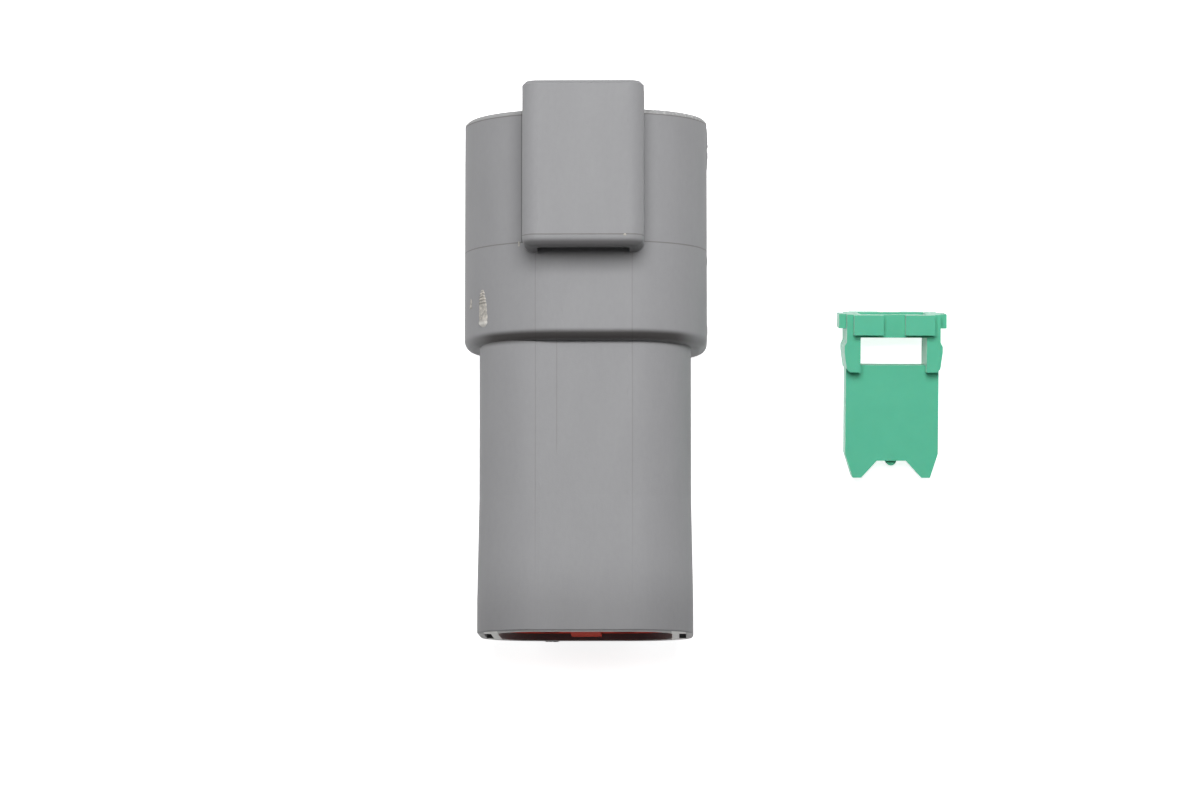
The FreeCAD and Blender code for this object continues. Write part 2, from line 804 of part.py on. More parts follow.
def add_wedge_head(body):
    """Add the hollow head with its raised blocks and side ears."""
    middle = Size.of(0)
    head = section_at(body, "Head", middle)
    add_rectangle(head, S["head_width"], S["head_height"], middle, middle)
    pad(body, head, S["head_depth"])
    for side in (-1, 1):
        block = section_at(body, "BlockLeft" if side < 0 else "BlockRight", middle)
        add_rectangle(block, S["block_width"], S["block_height"], S["block_spacing"] / 2 * side, middle)
        pad(body, block, S["block_depth"])
    ears = section_at(body, "Ears", middle)
    add_rectangle(ears, S["ear_width"], S["ear_height"], middle, middle)
    pad(body, ears, S["ear_depth"])
    opening = section_at(body, "HeadOpening", Size.of(PAST))
    add_rectangle(opening, S["head_opening_width"], S["head_opening_height"], middle, middle)
    pocket(body, opening, S["head_depth"] + PAST * 2)


def add_wedge_rails(body):
    """Add the two side rails that join the head to the tongue, each with a nib outside."""
    inside = S["head_opening_width"] / 2
    outside = S["head_width"] / 2
    end_y = -S["side_rail_end"]
    bevel = S["side_rail_bevel"]
    nib_front_y = -S["nib_front"]
    nib_peak_y = nib_front_y - S["nib_slope"]
    for side in (-1, 1):
        rail = plan_at(body, "SideRailLeft" if side < 0 else "SideRailRight", Size.of(0))
        points = (
            (inside, -S["head_depth"] / 2),
            (outside, -S["head_depth"] / 2),
            (outside, nib_front_y),
            (outside + S["nib_reach"], nib_peak_y),
            (outside + S["nib_reach"], nib_peak_y - S["nib_flat"]),
            (outside, end_y + bevel),
            (outside - bevel, end_y),
            (inside, end_y),
        )
        add_polygon(rail, [(x * side, y) for x, y in points])
        pad(body, rail, S["head_height"], both_ways=True)


def add_tongue(body):
    """Add the flat tongue with its two tips and the nub between them."""
    middle = Size.of(0)
    top_y = -S["head_depth"] - S["window_length"]
    tip_y = -S["wedge_length"]
    taper_y = tip_y + S["tip_taper_length"]
    notch_y = tip_y + S["notch_depth"]
    half = S["tongue_width"] / 2
    tip_outside = S["tip_spread"] / 2
    tip_inside = tip_outside - S["tip_width"]
    floor_half = S["notch_floor_width"] / 2
    tongue = plan_at(body, "Tongue", middle)
    points = (
        (-half, top_y),
        (-half, taper_y),
        (-tip_outside, tip_y),
        (-tip_inside, tip_y),
        (-floor_half, notch_y),
        (floor_half, notch_y),
        (tip_inside, tip_y),
        (tip_outside, tip_y),
        (half, taper_y),
        (half, top_y),
    )
    add_polygon(tongue, points)
    pad(body, tongue, S["tongue_thickness"], both_ways=True)
    nub = plan_at(body, "TongueNub", middle)
    add_circle(nub, S["nub_diameter"], middle, notch_y)
    pad(body, nub, S["tongue_thickness"] / 2, both_ways=True)


def lay_wedge_down(body):
    """Lay the wedge on its head and its tips, leaning a little to the right."""
    rest_y = S["block_depth"]
    drop = S["block_height"] / 2 - S["tongue_thickness"] / 2
    tilt = slope_angle(drop, S["wedge_length"] - rest_y)
    roll = S["wedge_roll"]
    corner_x = S["block_spacing"] / 2 + S["block_width"] / 2
    below = rest_y * sine(tilt) + S["block_height"] / 2 * cosine(tilt)
    rest_height = corner_x * sine(roll) + below * cosine(roll)
    body.setExpression("Placement.Rotation", f"rotation(0; {roll.text}; {tilt.text})")
    body.setExpression("Placement.Base.x", S["wedge_x"].text)
    body.setExpression("Placement.Base.y", S["wedge_y"].text)
    body.setExpression("Placement.Base.z", rest_height.text)


def make_wedge_lock():
    """Make the wedge lock in its own frame, then lay it beside the housing."""
    body = new_body("wedge_lock")
    add_wedge_head(body)
    add_wedge_rails(body)
    add_tongue(body)
    lay_wedge_down(body)
    return body


def check_and_export(bodies):
    """Stop if anything failed, then write one STEP file for each body."""
    doc.recompute()
    for item in doc.Objects:
        if "Invalid" in item.State or "Error" in item.State:
            raise RuntimeError(f"{item.Name} is {item.State}")
    for body in bodies:
        shape = body.Shape
        if shape.isNull() or not shape.isValid():
            raise RuntimeError(f"{body.Label} has no valid shape")
        shape.exportStep(os.path.join("parts", f"{body.Label}.step"))
        print(body.Label, "volume", round(shape.Volume, 2), "solids", len(shape.Solids))


def main():
    """Build every piece and write it out."""
    bodies = [make_housing(), make_wire_seal()]
    for number, (side, row) in enumerate(CONTACT_SIDES, start=1):
        bodies.append(make_contact(number, side, row))
    bodies.append(make_wedge_lock())
    check_and_export(bodies)


main()
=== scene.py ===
"""Dress, light and frame a sealed four-way pin connector with its wedge lock beside it."""
import logging
import math
from dataclasses import dataclass
from enum import Enum
from functools import cached_property

import bmesh
import bpy
from mathutils import Matrix, Vector, noise
from mathutils.bvhtree import BVHTree


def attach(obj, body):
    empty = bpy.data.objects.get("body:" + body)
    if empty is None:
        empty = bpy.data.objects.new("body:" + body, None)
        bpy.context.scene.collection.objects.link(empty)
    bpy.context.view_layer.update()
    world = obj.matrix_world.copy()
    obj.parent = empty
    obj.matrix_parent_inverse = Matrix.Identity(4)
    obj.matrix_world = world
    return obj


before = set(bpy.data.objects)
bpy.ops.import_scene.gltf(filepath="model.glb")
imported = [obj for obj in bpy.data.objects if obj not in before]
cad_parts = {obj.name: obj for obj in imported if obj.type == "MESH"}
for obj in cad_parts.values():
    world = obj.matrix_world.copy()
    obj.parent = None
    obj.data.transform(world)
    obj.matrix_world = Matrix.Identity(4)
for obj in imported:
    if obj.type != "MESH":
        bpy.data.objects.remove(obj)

log = logging.getLogger("connector")
MM = 0.001
WHITE = (1.0, 1.0, 1.0, 1.0)
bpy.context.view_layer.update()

# What a node's input takes: another node, one of its sockets, a number, or a vector or colour.
Value = bpy.types.Node | bpy.types.NodeSocket | float | tuple[float, ...]


def mm(*lengths: float) -> tuple[float, ...]:
    """Turn lengths in millimetres into metres."""
    return tuple(length * MM for length in lengths)


def linear(colour: str) -> tuple[float, float, float, float]:
    """Turn an sRGB hex colour into linear RGBA.

    Args:
        colour: Six hex digits, such as "9b9c9e".

    Returns:
        Linear red, green, blue and an alpha of 1.
    """
    channels = [int(colour[i:i + 2], 16) / 255 for i in (0, 2, 4)]
    values = [c / 12.92 if c <= 0.04045 else ((c + 0.055) / 1.055) ** 2.4 for c in channels]
    return (*values, 1.0)


class Slot(Enum):
    """The record's material slots."""

    HOUSING = "housing_plastic"
    SEAL = "seal_silicone"
    CONTACT = "contact_metal"
    WEDGE = "wedge_plastic"


class Join(Enum):
    """How masks are put together."""

    ALL = "MULTIPLY"
    ANY = "MAXIMUM"


class Side(Enum):
    """The side of a place that a mask takes."""

    BELOW = "LESS_THAN"
    ABOVE = "GREATER_THAN"


@dataclass(frozen=True)
class Relief:
    """How deep a pattern is, in millimetres, and how strongly that counts."""

    depth: float
    strength: float


class NodeGraph:
    """A material's nodes. Where a node is given as a value, its first output in use is meant."""

    def __init__(self, name: str) -> None:
        """Start a material that has only its shader.

        Args:
            name: The material's name.
        """
        self.material = bpy.data.materials.new(name)
        self.material.use_nodes = True
        self.tree = self.material.node_tree
        self.tree.nodes.clear()
        self.shader = self.add("BsdfPrincipled", {})
        self.add("OutputMaterial", {"Surface": self.shader})

    @cached_property
    def place(self) -> bpy.types.NodeSocket:
        """Give the object coordinates, in metres."""
        return self.add("TexCoord", {}).outputs["Object"]

    @cached_property
    def axes(self) -> tuple[bpy.types.NodeSocket, ...]:
        """Give the x, y and z of the object coordinates, in metres."""
        return tuple(self.add("SeparateXYZ", {0: self.place}).outputs)

    @cached_property
    def sideways(self) -> bpy.types.Node:
        """Give the distance from the connector's middle plane, in metres."""
        return self.add("Math", {0: self.axes[0]}, operation="ABSOLUTE")

    def add(self, kind: str, inputs: dict[str | int, Value], **settings: str) -> bpy.types.Node:
        """Add a node with its settings and links.

        Args:
            kind: The node's type, without ShaderNode in front of it.
            inputs: What each input takes, by the input's name or number.
            settings: The node's own properties.

        Returns:
            The new node.
        """
        node = self.tree.nodes.new("ShaderNode" + kind)
        for name, setting in settings.items():
            setattr(node, name, setting)
        self.fill(node, inputs)
        return node

    def fill(self, node: bpy.types.Node, inputs: dict[str | int, Value]) -> None:
        """Set or link a node's inputs.

        Args:
            node: The node whose inputs are filled.
            inputs: What each input takes, by the input's name or number.
        """
        in_use = [socket for socket in node.inputs if socket.enabled]
        for key, value in inputs.items():
            if isinstance(key, int):
                socket = in_use[key]
            else:
                socket = next(candidate for candidate in in_use if candidate.name == key)
            if isinstance(value, bpy.types.Node):
                value = next(output for output in value.outputs if output.enabled)
            if isinstance(value, bpy.types.NodeSocket):
                self.tree.links.new(value, socket)
            else:
                socket.default_value = value

    def join(self, how: Join, first: Value, *others: Value) -> Value:
        """Put masks together.

        Args:
            how: Whether the result is where all of them are, or where any of them is.
            first: The first mask.
            others: The other masks, or a share that the result is weakened to.

        Returns:
            The joined mask.
        """
        for other in others:
            first = self.add("Math", {0: first, 1: other}, operation=how.value)
        return first

    def coat(self, base: str, *coats: tuple[Value, str]) -> Value:
        """Lay colours over one another, each where its mask is.

        Args:
            base: The lowest colour, in sRGB hex.
            coats: Each further coat's mask and its colour in sRGB hex.

        Returns:
            The colour that shows.
        """
        shown: Value = linear(base)
        for mask, colour in coats:
            layers = {"Factor": mask, "A": shown, "B": linear(colour)}
            shown = self.add("Mix", layers, data_type="RGBA")
        return shown

    def emboss(self, *layers: tuple[Value, Relief]) -> Value:
        """Raise patterns out of the surface, one on top of the other.

        Args:
            layers: Each pattern's height, from 0 to 1, and its relief.

        Returns:
            The surface's normal.
        """
        under: dict[str | int, Value] = {}
        for height, relief in layers:
            sizes = {"Height": height, "Strength": relief.strength, "Distance": relief.depth * MM}
            under = {"Normal": self.add("Bump", {**sizes, **under})}
        return under["Normal"]


@dataclass(frozen=True)
class Grain:
    """A noise pattern: its largest features in millimetres, its finer octaves and its stretch."""

    size: float
    octaves: float
    stretch: tuple[float, float, float] = (1.0, 1.0, 1.0)

    def pattern(self, graph: NodeGraph) -> bpy.types.Node:
        """Add the pattern to a material.

        Args:
            graph: The material's graph.

        Returns:
            The node of the pattern, from 0 to 1.
        """
        scale = tuple(1 / (self.size * MM * share) for share in self.stretch)
        drawn = graph.add("Mapping", {"Vector": graph.place, "Scale": scale})
        return graph.add("TexNoise", {"Vector": drawn, "Scale": 1.0, "Detail": self.octaves})


@dataclass(frozen=True)
class Limit:
    """Everything on one side of a place, which is in millimetres."""

    place: float
    side: Side

    def mask(self, graph: NodeGraph, value: Value) -> bpy.types.Node:
        """Mask the values on that side, in a material's graph."""
        return graph.add("Math", {0: value, 1: self.place * MM}, operation=self.side.value)


@dataclass(frozen=True)
class Fade:
    """A smooth change between two places, in millimetres, from one level to another."""

    start: float
    end: float
    before: float
    after: float

    def mask(self, graph: NodeGraph, value: Value) -> bpy.types.Node:
        """Mask a value by the change.

        Args:
            graph: The material's graph.
            value: What is masked, in metres.

        Returns:
            The mask's node.
        """
        reach = {"From Min": self.start * MM, "From Max": self.end * MM}
        levels = {"To Min": self.before, "To Max": self.after}
        return graph.add("MapRange", {"Value": value, **reach, **levels},
                         interpolation_type="SMOOTHSTEP")


@dataclass(frozen=True)
class Band:
    """A stripe: its middle, half its width and its soft edge, all in millimetres."""

    centre: float
    half: float
    soft: float

    def mask(self, graph: NodeGraph, value: Value) -> bpy.types.Node:
        """Mask the stripe.

        Args:
            graph: The material's graph.
            value: What is masked, in metres.

        Returns:
            The mask's node.
        """
        offset = graph.add("Math", {0: value, 1: self.centre * MM}, operation="SUBTRACT")
        away = graph.add("Math", {0: offset}, operation="ABSOLUTE")
        return Fade(self.half, self.half + self.soft, 1.0, 0.0).mask(graph, away)


@dataclass(frozen=True)
class HousingFinish:
    """Glass-filled nylon, moulded in a finely etched mould.

    It gives a flat grey with a faint mottle along the part, a soft dull shine, and fine lines
    where the mould's blocks met. A painted highlight lies pale on the rear end face and along the
    rim, with pale flecks of burr on the rim's right side, and a brown painted shade darkens the
    shoulder's crease, the bridge's lip and foot, and the last stretch toward the rear.
    """

    colour: str = "9e9ea0"
    darker: str = "949496"
    line_colour: str = "6f6b67"
    # Painted shade, for the crease, the bridge's lip and foot, and the rear stretch.
    painted_shade_colour: str = "2e2a28"
    # Painted highlight, also the colour of the burr flecks on the rim.
    highlight_and_burr_colour: str = "f0f0ed"
    specular: float = 0.3
    smoothest: float = 0.58
    roughest: float = 0.68

    # The real etch and fibres are too fine to show, so these are drawn coarser than they are.
    clouds: Grain = Grain(2.2, 3.0, (1.0, 3.0, 1.0))
    fibres: Grain = Grain(0.35, 3.0, (1.0, 1.8, 1.0))
    fibre_share: float = 0.5
    etch: Grain = Grain(0.12, 2.0)
    etch_relief: Relief = Relief(0.012, 0.55)
    flow: Grain = Grain(0.6, 3.0, (1.0, 5.0, 1.0))
    flow_relief: Relief = Relief(0.03, 0.35)

    # The lines where the mould's blocks and slides met.
    line_share: float = 0.6
    line_relief: Relief = Relief(0.03, 0.6)
    parting: Band = Band(0.0, 0.02, 0.05)
    rim_line: Band = Band(11.01, 0.02, 0.05)
    slide_line: Band = Band(4.12, 0.02, 0.05)
    slide_fading: Fade = Fade(-17.0, -33.1, 0.38, 0.0)
    short_line: Band = Band(-2.32, 0.02, 0.05)
    short_reach: Band = Band(-12.71, 4.29, 1.5)
    short_share: float = 0.38

    # Painted shade: the shoulder's crease, the bridge's lip and foot, and the stretch toward the
    # rear.
    crease: Band = Band(-8.02, 0.15, 0.55)
    crease_height: Fade = Fade(10.0, 13.0, 0.0, 0.9)
    crease_spread: Fade = Fade(7.6, 10.4, 1.0, 0.15)
    lip: Band = Band(-0.78, 0.12, 0.4)
    lip_height: Fade = Fade(18.25, 18.55, 0.0, 0.56)
    foot: Band = Band(5.2, 0.02, 0.08)
    foot_middle: float = -0.1
    foot_height: Fade = Fade(16.5, 17.0, 0.0, 0.5)
    # Painted shade that darkens the last stretch toward the rear end.
    rear_falloff_shade: Fade = Fade(-26.0, -33.1, 0.0, 0.22)

    # Painted highlight on the rear end face and along the rim, with pale burr flecks on the rim's
    # right.
    rear_face_band: Band = Band(-33.1, 0.03, 0.04)
    rear_highlight_least: float = 0.22
    strip: Band = Band(8.0, 0.55, 0.1)
    strip_share: float = 0.92
    rim: Band = Band(11.23, 0.17, 0.03)
    rim_share: float = 0.15
    flecks: Grain = Grain(0.35, 3.0)
    fleck_levels: tuple[float, float] = (0.5, 0.62)
    fleck_share: float = 0.45

    # Where those masks end.
    ahead_of_joint: Limit = Limit(0.0, Side.ABOVE)
    behind_bridge: Limit = Limit(-0.95, Side.BELOW)
    on_right: Limit = Limit(5.0, Side.ABOVE)
    on_top: Limit = Limit(13.0, Side.ABOVE)
    under_roof: Limit = Limit(18.25, Side.BELOW)

    def build(self) -> bpy.types.Material:
        """Make the material.

        Returns:
            The finished material.
        """
        graph = NodeGraph("glass_filled_nylon")
        clouds = self.clouds.pattern(graph)
        mottle = graph.add("Mix", {"Factor": self.fibre_share, "A": clouds,
                                   "B": self.fibres.pattern(graph)})
        lines = self.mould_lines(graph)
        faint_lines = graph.join(Join.ALL, lines, self.line_share)
        # The coats include painted shade in the corners and toward the rear, and a painted
        # highlight on the rear end face and the rim.
        graph.fill(graph.shader, {
            "Base Color": graph.coat(self.colour, (mottle, self.darker),
                                     (faint_lines, self.line_colour),
                                     (self.painted_shade_mask(graph), self.painted_shade_colour),
                                     (self.painted_highlight_and_burr(graph), self.highlight_and_burr_colour)),
            "Roughness": graph.add("MapRange", {"Value": clouds, "To Min": self.smoothest,
                                                "To Max": self.roughest}),
            "Specular IOR Level": self.specular,
            "Normal": graph.emboss((self.etch.pattern(graph), self.etch_relief),
                                   (self.flow.pattern(graph), self.flow_relief),
                                   (lines, self.line_relief)),
        })
        return graph.material

    def mould_lines(self, graph: NodeGraph) -> Value:
        """Mask the fine raised lines that the mould's joints leave.

        Args:
            graph: The material's graph.

        Returns:
            The mask.
        """
        x, y, z = graph.axes
        rim = graph.join(Join.ALL, self.rim_line.mask(graph, y), self.under_roof.mask(graph, z))
        slides = graph.join(Join.ALL, self.slide_line.mask(graph, graph.sideways),
                            self.behind_bridge.mask(graph, y), self.slide_fading.mask(graph, y))
        short = graph.join(Join.ALL, self.short_line.mask(graph, x),
                           self.short_reach.mask(graph, y), self.short_share)
        along = graph.join(Join.ALL, graph.join(Join.ANY, slides, short),
                           self.on_top.mask(graph, z))
        return graph.join(Join.ANY, self.parting.mask(graph, y), rim, along)

    def painted_shade_mask(self, graph: NodeGraph) -> Value:
        """Mask the painted shade in the crease, on the lip, beside the bridge and toward the rear.

        Args:
            graph: The material's graph.

        Returns:
            The mask.
        """
        x, y, z = graph.axes
        # Painted shade: the crease, the lip's underside and a thin line at the bridge's foot are
        # darkened where shade falls.
        crease = graph.join(Join.ALL, self.crease.mask(graph, y),
                            self.crease_height.mask(graph, z),
                            self.crease_spread.mask(graph, graph.sideways))
        lip = graph.join(Join.ALL, self.lip.mask(graph, y), self.lip_height.mask(graph, z))
        offset = graph.add("Math", {0: x, 1: self.foot_middle * MM}, operation="SUBTRACT")
        beside = graph.add("Math", {0: offset}, operation="ABSOLUTE")
        foot = graph.join(Join.ALL, self.foot.mask(graph, beside),
                          self.ahead_of_joint.mask(graph, y), self.under_roof.mask(graph, z),
                          self.foot_height.mask(graph, z))
        return graph.join(Join.ANY, crease, lip, self.rear_falloff_shade.mask(graph, y), foot)

    def painted_highlight_and_burr(self, graph: NodeGraph) -> Value:
        """Mask the painted highlight on the rear end face, palest beside the side cores, and on the
        rim, with pale burr flecks on the rim's right side.

        Args:
            graph: The material's graph.

        Returns:
            The mask.
        """
        x, y, z = graph.axes
        # Painted highlight on the rear end face, strongest beside the side cores.
        paleness = graph.add("MapRange", {"Value": self.strip.mask(graph, graph.sideways),
                                          "To Min": self.rear_highlight_least,
                                          "To Max": self.strip_share})
        rear = graph.join(Join.ALL, self.rear_face_band.mask(graph, y), paleness)
        least, most = self.fleck_levels
        flecks = graph.add("MapRange", {"Value": self.flecks.pattern(graph),
                                        "From Min": least, "From Max": most})
        burr_flecks = graph.join(Join.ALL, self.on_right.mask(graph, x), flecks)
        # The whole rim gets a faint painted highlight, and the burr flecks on its right are paler.
        rim_highlight_and_burr = graph.add("MapRange", {"Value": burr_flecks, "To Min": self.rim_share,
                                        "To Max": self.fleck_share})
        rim = graph.join(Join.ALL, self.rim.mask(graph, y), rim_highlight_and_burr,
                         self.under_roof.mask(graph, z))
        return graph.join(Join.ANY, rear, rim)


@dataclass(frozen=True)
class TornFinish:
    """The same nylon where a gate was torn off: stretched, dry and whitened, most at its rear."""

    colour: str = "c8c3bb"
    darker: str = "a19e98"
    whitest: str = "dedcd7"
    roughness: float = 0.8
    fibres: Grain = Grain(0.3, 5.0)
    fibre_levels: tuple[float, float] = (0.38, 0.62)
    fibre_relief: Relief = Relief(0.08, 0.8)
    whitening: Fade = Fade(-6.25, -6.65, 0.0, 0.75)

    def build(self) -> bpy.types.Material:
        """Make the material.

        Returns:
            The finished material.
        """
        graph = NodeGraph("torn_nylon")
        fibres = self.fibres.pattern(graph)
        least, most = self.fibre_levels
        spread = graph.add("MapRange", {"Value": fibres, "From Min": least, "From Max": most})
        white = self.whitening.mask(graph, graph.axes[1])
        graph.fill(graph.shader, {
            "Base Color": graph.coat(self.colour, (spread, self.darker), (white, self.whitest)),
            "Roughness": self.roughness,
            "Normal": graph.emboss((fibres, self.fibre_relief)),
        })
        return graph.material


@dataclass(frozen=True)
class WedgeFinish:
    """Green thermoplastic polyester, moulded.

    It is a little translucent, so thin walls and edges look paler than the broad faces.
    """

    colour: str = "5cc8a3"
    deeper: str = "54c09b"
    roughness: float = 0.45
    specular: float = 0.4
    translucency: float = 0.12
    light_depth: float = 0.5
    edge_glow: float = 0.25
    edge_roughness: float = 0.3
    clouds: Grain = Grain(1.5, 3.0)
    etch: Grain = Grain(0.12, 2.0)
    etch_relief: Relief = Relief(0.01, 0.5)

    def build(self) -> bpy.types.Material:
        """Make the material.

        Returns:
            The finished material.
        """
        graph = NodeGraph("green_polyester")
        graph.fill(graph.shader, {
            "Base Color": graph.coat(self.colour, (self.clouds.pattern(graph), self.deeper)),
            "Roughness": self.roughness,
            "Specular IOR Level": self.specular,
            "Subsurface Weight": self.translucency,
            "Subsurface Scale": self.light_depth * MM,
            "Sheen Weight": self.edge_glow,
            "Sheen Roughness": self.edge_roughness,
            "Normal": graph.emboss((self.etch.pattern(graph), self.etch_relief)),
        })
        return graph.material


@dataclass(frozen=True)
class SealFinish:
    """Moulded silicone rubber: a deep brick red, dull, with hardly any shine."""

    colour: str = "c4422f"
    deeper: str = "b0301e"
    roughness: float = 0.85
    specular: float = 0.08
    clouds: Grain = Grain(1.0, 4.0)
    grit: Grain = Grain(0.2, 3.0)
    grit_relief: Relief = Relief(0.02, 0.5)

    def build(self) -> bpy.types.Material:
        """Make the material.

        Returns:
            The finished material.
        """
        graph = NodeGraph("red_silicone")
        graph.fill(graph.shader, {
            "Base Color": graph.coat(self.colour, (self.clouds.pattern(graph), self.deeper)),
            "Roughness": self.roughness,
            "Specular IOR Level": self.specular,
            "Normal": graph.emboss((self.grit.pattern(graph), self.grit_relief)),
        })
        return graph.material


@dataclass(frozen=True)
class ContactFinish:
    """Nickel plating over turned copper alloy: bright, with fine rings left by the turning tool."""

    colour: str = "d8d5cc"
    worn: str = "c9b48a"
    worn_share: float = 0.3
    smoothest: float = 0.18
    roughest: float = 0.34
    turning: Grain = Grain(0.25, 3.0, (12.0, 1.0, 12.0))
    turning_relief: Relief = Relief(0.008, 0.5)

    def build(self) -> bpy.types.Material:
        """Make the material.

        Returns:
            The finished material.
        """
        graph = NodeGraph("nickel_plated_contact")
        turning = self.turning.pattern(graph)
        wear = graph.join(Join.ALL, turning, self.worn_share)
        graph.fill(graph.shader, {
            "Base Color": graph.coat(self.colour, (wear, self.worn)),
            "Metallic": 1.0,
            "Roughness": graph.add("MapRange", {"Value": turning, "To Min": self.smoothest,
                                                "To Max": self.roughest}),
            "Normal": graph.emboss((turning, self.turning_relief)),
        })
        return graph.material


def finish_piece(name: str, grid: bmesh.types.BMesh,
                 material: bpy.types.Material) -> bpy.types.Object:
    """Turn a built mesh into a piece of the housing that moves with it.

    Args:
        name: The piece's name.
        grid: The built mesh, which is freed.
        material: The piece's material.

    Returns:
        The new object.
    """
    mesh = bpy.data.meshes.new(name)
    grid.to_mesh(mesh)
    grid.free()
    mesh.materials.append(material)
    mesh.shade_smooth()
    piece = bpy.data.objects.new(name, mesh)
    bpy.context.scene.collection.objects.link(piece)
    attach(piece, "root")
    log.info("built %s", name)
    return piece


@dataclass(frozen=True)
class TornMark:
    """A ragged, raised mark that a torn gate leaves on the housing. Lengths are in millimetres."""

    name: str
    start: tuple[float, float]
    length: float
    width: float
    rise: float
    lean: float = 0.0
    ridges: int = 0
    ridged_share: float = 0.4
    ridge_share: float = 0.32
    ridge_skew: float = 0.15
    front_width: float = 0.35
    tip_width: float = 0.3
    tip_share: float = 0.1
    front_rise: float = 0.3
    side_slope: float = 3.0
    front_slope: float = 12.0
    rear_slope: float = 14.0
    sunk: float = 0.03
    step: float = 0.05
    least_across: int = 6
    least_along: int = 12
    drop_height: float = 40.0
    waves: float = 9.0
    edge_share: float = 0.18
    end_waves: float = 3.0
    end_reach: float = 0.08
    end_seed: float = 5.0
    rough_waves: float = 2.5
    rough_share: float = 0.35
    rough_seed: float = 2.0

    def build(self, surface: BVHTree, material: bpy.types.Material) -> bpy.types.Object:
        """Lay the mark on the surface from above.

        Args:
            surface: The housing's surface.
            material: The mark's material.

        Returns:
            The new piece.
        """
        grid = bmesh.new()
        across_steps = max(self.least_across, round(self.width / self.step))
        along_steps = max(self.least_along, round(self.length / self.step))
        bmesh.ops.create_grid(grid, x_segments=across_steps, y_segments=along_steps, size=0.5)
        for vertex in grid.verts:
            across = vertex.co.x * 2
            along = 0.5 - vertex.co.y
            vertex.co = self.place(surface, across, along)
        bmesh.ops.recalc_face_normals(grid, faces=grid.faces)
        return finish_piece(self.name, grid, material)

    def place(self, surface: BVHTree, across: float, along: float) -> Vector:
        """Find one point of the mark.

        Args:
            surface: The housing's surface.
            across: From -1 at the left edge to 1 at the right edge.
            along: From 0 at the front end to 1 at the rear end.

        Returns:
            The point in metres.
        """
        widening = self.front_width + (1 - self.front_width) * min(1.0, along / self.ridged_share)
        closing = min(1.0, (1.0 - along) / self.tip_share * (1 - self.tip_width) + self.tip_width)
        ragged = 1 + self.edge_share * noise.noise(Vector((0.0, along * self.waves, across)))
        end_noise = noise.noise(Vector((across * self.end_waves, self.end_seed, 0.0)))
        half_width = self.width / 2 * widening * closing * ragged
        x = self.start[0] + self.lean * along + across * half_width
        y = self.start[1] - self.length * along + self.end_reach * end_noise
        above = Vector(mm(x, y, self.drop_height))
        hit, normal, _, _ = surface.ray_cast(above, Vector((0, 0, -1)))
        return hit + normal * (self.height(across, along) * MM)

    def height(self, across: float, along: float) -> float:
        """Find how far one point stands out of the surface.

        Args:
            across: From -1 at the left edge to 1 at the right edge.
            along: From 0 at the front end to 1 at the rear end.

        Returns:
            The height in millimetres, below zero at the outline.
        """
        inward = min(1.0, (1 - abs(across)) * self.side_slope, along * self.front_slope,
                     (1 - along) * self.rear_slope)
        body = self.rise * (self.front_rise + (1 - self.front_rise) * along * along)
        torn = noise.noise(Vector((across * self.rough_waves, along * self.waves,
                                   self.rough_seed)))
        ridge = 0.0
        if self.ridges and along < self.ridged_share:
            turns = self.ridges * along / self.ridged_share + self.ridge_skew * across
            ridge = self.ridge_share * self.rise * math.sin(2 * math.pi * turns)
        raised = body + self.rough_share * self.rise * torn + ridge
        return inward * (raised + self.sunk) - self.sunk


@dataclass(frozen=True)
class FlashFin:
    """A paper-thin ragged fin of flash along a mould joint. Lengths are in millimetres."""

    name: str
    start: tuple[float, float, float]
    end: tuple[float, float, float]
    outward: tuple[float, float, float]
    reach: float
    thickness: float = 0.05
    rooted: float = 0.15
    step: float = 0.08
    least_steps: int = 4
    taper_rate: float = 6.0
    common_share: float = 0.6
    ragged_share: float = 0.5
    steps_per_wave: int = 4
    seed: float = 1.0

    # How much the direction that orders the faces leans outward and through the fin, so that no
    # two points and no two faces lie level along it.
    lean_outward: float = 0.1
    lean_through: float = 200.0

    def build(self, material: bpy.types.Material) -> bpy.types.Object:
        """Build the fin with its root inside the housing's wall.

        Args:
            material: The fin's material.

        Returns:
            The new piece.
        """
        first = Vector(mm(*self.start))
        run = Vector(mm(*self.end)) - first
        outward = Vector(self.outward)
        steps = max(self.least_steps, round(run.length / (self.step * MM)))
        grid = bmesh.new()
        bmesh.ops.create_grid(grid, x_segments=steps, y_segments=1, size=0.5)
        for vertex in grid.verts:
            along = vertex.co.x + 0.5
            reach = self.edge(along, steps) if vertex.co.y > 0 else -self.rooted
            vertex.co = first + run * along + outward * (reach * MM)
        bmesh.ops.solidify(grid, geom=grid.faces, thickness=self.thickness * MM)
        bmesh.ops.recalc_face_normals(grid, faces=grid.faces)
        # Solidify leaves its faces in any order, so they are put in one that is the same each run.
        level = run.normalized()
        through = level.cross(outward)
        slant = level + self.lean_outward * outward + self.lean_through * through
        grid.verts.sort(key=lambda vertex: vertex.co.dot(slant))
        grid.faces.sort(key=lambda face: face.calc_center_median().dot(slant))
        return finish_piece(self.name, grid, material)

    def edge(self, along: float, steps: int) -> float:
        """Find how far the fin's ragged edge stands out at one place.

        Args:
            along: From 0 at the fin's start to 1 at its end.
            steps: The number of steps along the fin.

        Returns:
            The reach in millimetres.
        """
        taper = min(1.0, self.taper_rate * along, self.taper_rate * (1 - along))
        wave = noise.noise(Vector((along * steps / self.steps_per_wave, self.reach, self.seed)))
        return self.reach * taper * (self.common_share + self.ragged_share * wave)


